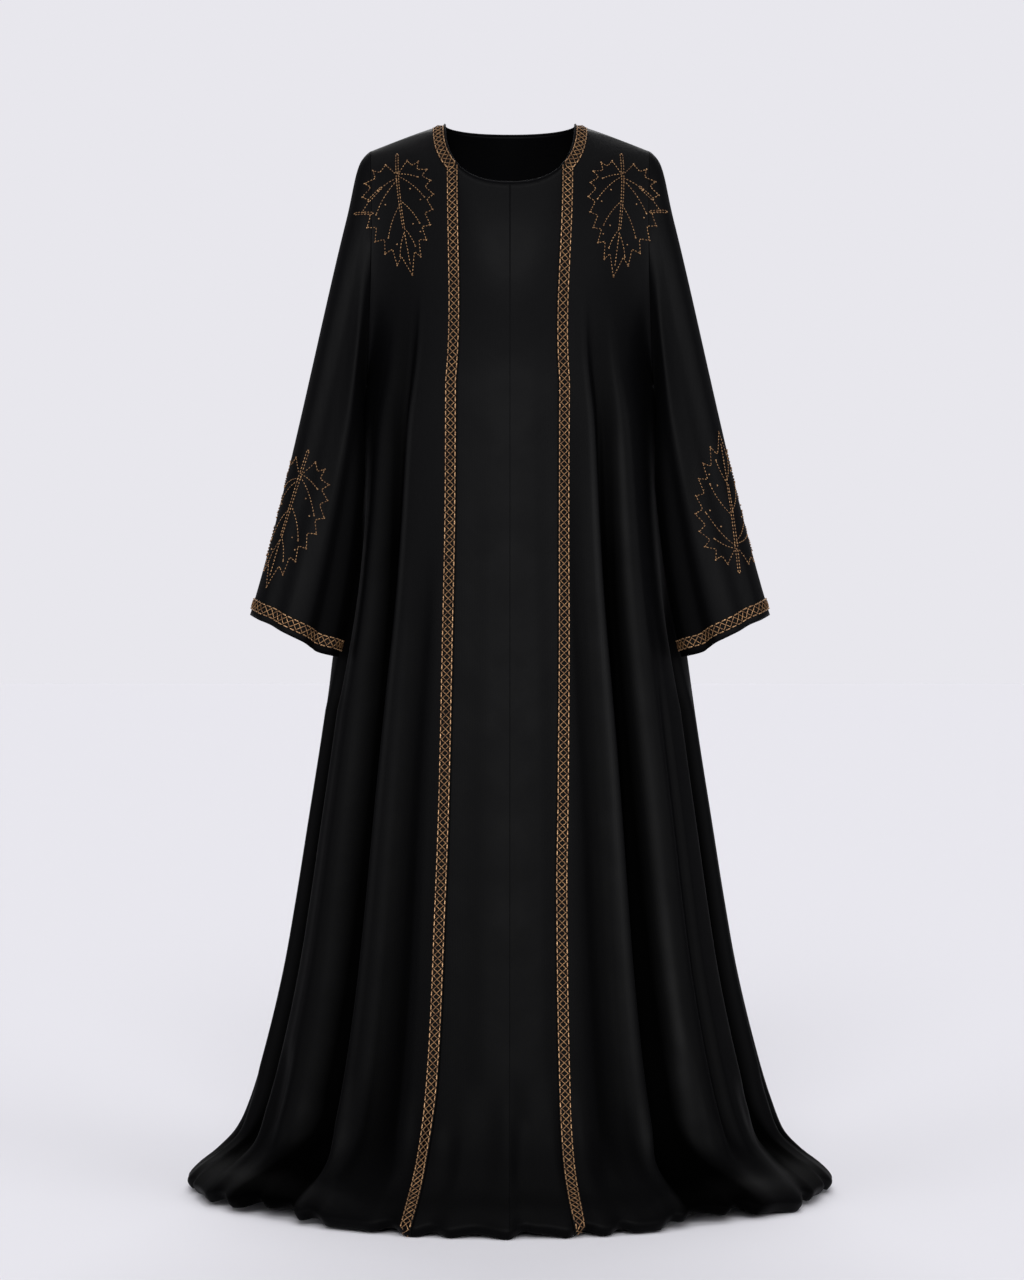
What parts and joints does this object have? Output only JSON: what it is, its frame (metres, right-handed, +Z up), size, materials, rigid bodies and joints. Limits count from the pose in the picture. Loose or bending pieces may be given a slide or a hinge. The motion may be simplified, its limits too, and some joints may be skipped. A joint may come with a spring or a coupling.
{
  "type": "abaya",
  "caption": "Full-length black A-line abaya in its worn form, with a round neck, wide sleeves, a floor-length folded hem and bronze braid down the front and round the cuffs.",
  "frame": {"origin": "between the shoulders, midway between the shoulder seams at their middle height, where the wearer's shoulders hold the garment up", "axes": "+Z up along the wearer's body, -Y out of the front of the garment, +X to the wearer's left"},
  "size_m": [0.8961, 0.874, 1.453],
  "materials": {
    "black_cloth": "matt black crepe with a soft sheen on its folds",
    "bronze_braid": "braid of bronze beads and thread on black tape"
  },
  "bodies": {
    "root": {"front_centre_right": "black_cloth", "front_centre_left": "black_cloth", "front_side_right": "black_cloth", "front_side_left": "black_cloth", "back": "black_cloth", "sleeve_right": "black_cloth", "sleeve_left": "black_cloth", "neck_binding": "black_cloth", "braid_front_right": "bronze_braid", "braid_front_left": "bronze_braid", "braid_cuff_right": "bronze_braid", "braid_cuff_left": "bronze_braid"}
  },
  "joints": []
}
